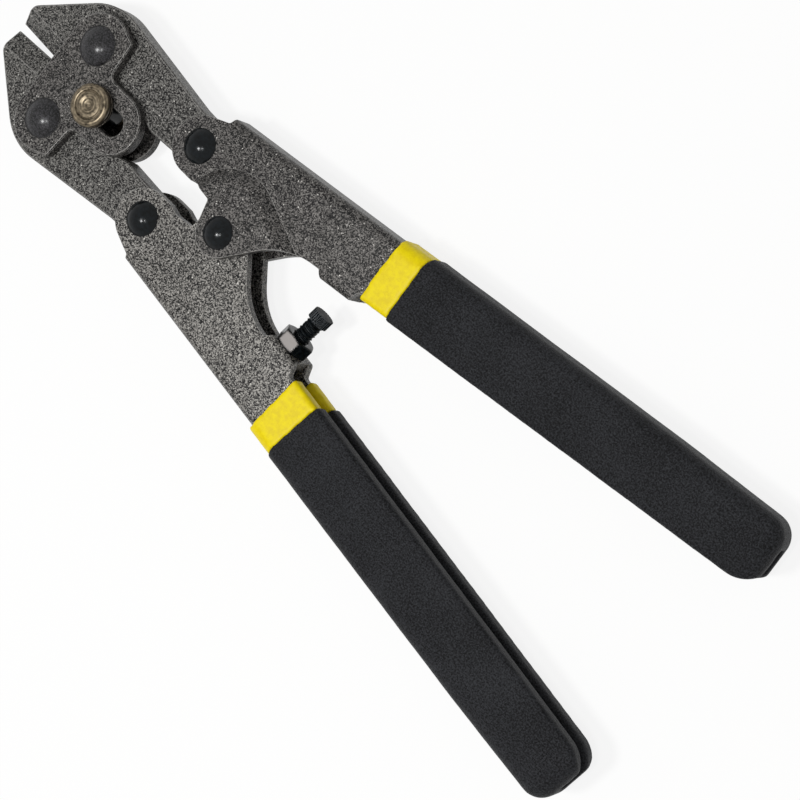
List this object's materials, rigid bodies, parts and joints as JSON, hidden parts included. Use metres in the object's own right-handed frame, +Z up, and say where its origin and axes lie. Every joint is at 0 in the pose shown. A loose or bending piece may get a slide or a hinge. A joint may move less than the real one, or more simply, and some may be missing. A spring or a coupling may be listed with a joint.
{
  "type": "hook cutter",
  "caption": "Compact compound-action cutter: short jaws on slotted side plates, pressed steel handles with dipped grips, stop screw and guide bolt.",
  "frame": {"origin": "bottom centre of the bounding box of the tool lying flat on its back, at rest", "axes": "+X from the jaws to the grips, +Y towards the upper handle that carries the raised lobes, +Z up through the thickness, towards the head of the guide bolt"},
  "size_m": [0.2014, 0.0728, 0.017],
  "materials": {
    "powder_coat": "dark grey-brown metallic powder coat, fine texture",
    "powder_coat_jaw": "dark grey-brown metallic powder coat over forged steel",
    "black_rivet": "black oxide, lightly oiled",
    "gold_zinc": "yellow passivated zinc, turned",
    "washer_steel": "dark plated spring steel",
    "black_screw": "black oxide",
    "nut_steel": "black oxide with worn flats",
    "black_vinyl": "dipped soft vinyl, fine matte grain",
    "yellow_vinyl": "dipped soft vinyl, smooth satin"
  },
  "bodies": {
    "head": {"front_side_plate": "powder_coat", "back_side_plate": "powder_coat", "upper_jaw_rivet": "powder_coat", "lower_jaw_rivet": "powder_coat"},
    "jaw_upper": {"upper_jaw": "powder_coat_jaw"},
    "jaw_lower": {"lower_jaw": "powder_coat_jaw"},
    "handle_upper": {"upper_handle": "powder_coat", "upper_band": "yellow_vinyl", "upper_grip": "black_vinyl", "upper_link_rivet": "black_rivet", "centre_rivet": "black_rivet", "centre_bush": "washer_steel"},
    "handle_lower": {"lower_handle": "powder_coat", "lower_band": "yellow_vinyl", "lower_grip": "black_vinyl", "lower_link_rivet": "black_rivet", "stop_lock_nut": "nut_steel"},
    "stop_adjuster": {"stop_screw": "black_screw"},
    "guide_slider": {"guide_bolt": "gold_zinc", "guide_washer": "washer_steel", "spring_washer": "washer_steel", "guide_bush": "washer_steel", "back_washer": "washer_steel", "guide_nut": "gold_zinc"}
  },
  "joints": [
    {"name": "upper_jaw_hinge", "type": "hinge", "parent": "head", "child": "jaw_upper", "pos_m": [-0.0799, 0.01, 0.0085], "axis": [0, 0, -1], "range_deg": [-2.7, 5]},
    {"name": "lower_jaw_hinge", "type": "hinge", "parent": "head", "child": "jaw_lower", "pos_m": [-0.0799, -0.01, 0.0085], "axis": [0, 0, 1], "range_deg": [-2.7, 5]},
    {"name": "upper_handle_hinge", "type": "hinge", "parent": "jaw_upper", "child": "handle_upper", "pos_m": [-0.0459, 0.01, 0.0085], "axis": [0, 0, 1], "range_deg": [-8.01, 14.84]},
    {"name": "lower_handle_hinge", "type": "hinge", "parent": "jaw_lower", "child": "handle_lower", "pos_m": [-0.0459, -0.01, 0.0085], "axis": [0, 0, -1], "range_deg": [-8.02, 14.85]},
    {"name": "stop_screw_adjust", "type": "slide", "parent": "handle_lower", "child": "stop_adjuster", "axis": [0.1201, 0.9928, 0], "range_m": [-0.0042, 0.0009]},
    {"name": "guide_bolt_slide", "type": "slide", "parent": "head", "child": "guide_slider", "axis": [1, 0, 0], "range_m": [0, 0.0057]}
  ],
  "couplings": [
    {"joint": "upper_jaw_hinge", "follows": "upper_handle_hinge", "ratio": 0.3367},
    {"joint": "lower_jaw_hinge", "follows": "upper_handle_hinge", "ratio": 0.3367},
    {"joint": "lower_handle_hinge", "follows": "upper_handle_hinge", "ratio": 1}
  ]
}
